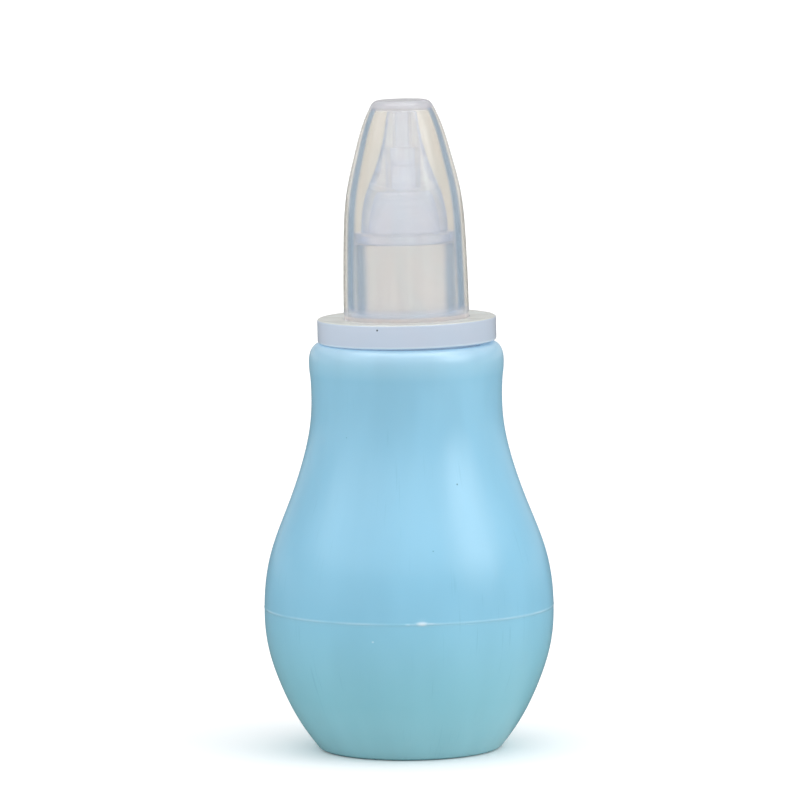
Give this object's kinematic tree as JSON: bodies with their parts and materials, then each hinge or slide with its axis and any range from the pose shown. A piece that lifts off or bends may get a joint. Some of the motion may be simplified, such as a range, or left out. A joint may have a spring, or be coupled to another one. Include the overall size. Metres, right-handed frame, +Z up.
{
  "type": "nasal aspirator",
  "caption": "Squeeze-bulb nasal aspirator: soft blue bulb, clear collection chamber with finger flange, soft bored tip and clear push-on protective cap.",
  "frame": {"origin": "middle of the bulb's flat foot, on the surface that it stands on", "axes": "+Z up along the turning axis, from the foot to the cap; the part is the same all round +Z"},
  "size_m": [0.0502, 0.0502, 0.1123],
  "materials": {
    "soft_blue_bulb": "satin",
    "soft_teal_bulb": "satin",
    "clear_collar_plastic": "gloss",
    "soft_clear_tip": "satin",
    "clear_core_plastic": "gloss",
    "clear_cap_plastic": "gloss"
  },
  "bodies": {
    "lower_bulb": {"bulb_lower_half": "soft_teal_bulb"},
    "upper_bulb": {"bulb_upper_half": "soft_blue_bulb"},
    "collar": {"chamber_collar": "clear_collar_plastic"},
    "nozzle": {"nozzle_tip": "soft_clear_tip", "backflow_core": "clear_core_plastic"},
    "cap": {"protective_cap": "clear_cap_plastic"}
  },
  "joints": [
    {"name": "bulb_squeeze", "type": "slide", "parent": "lower_bulb", "child": "upper_bulb", "axis": [0, 0, -1], "range_m": [0, 0.015], "stiffness_N_per_m": 1000, "deforming": ["bulb_upper_half"]},
    {"name": "collar_pull", "type": "slide", "parent": "upper_bulb", "child": "collar", "axis": [0, 0, 1], "range_m": [0, 0.014]},
    {"name": "nozzle_pull", "type": "slide", "parent": "collar", "child": "nozzle", "axis": [0, 0, 1], "range_m": [0, 0.012]},
    {"name": "cap_pull", "type": "slide", "parent": "nozzle", "child": "cap", "axis": [0, 0, 1], "range_m": [0, 0.04]}
  ]
}
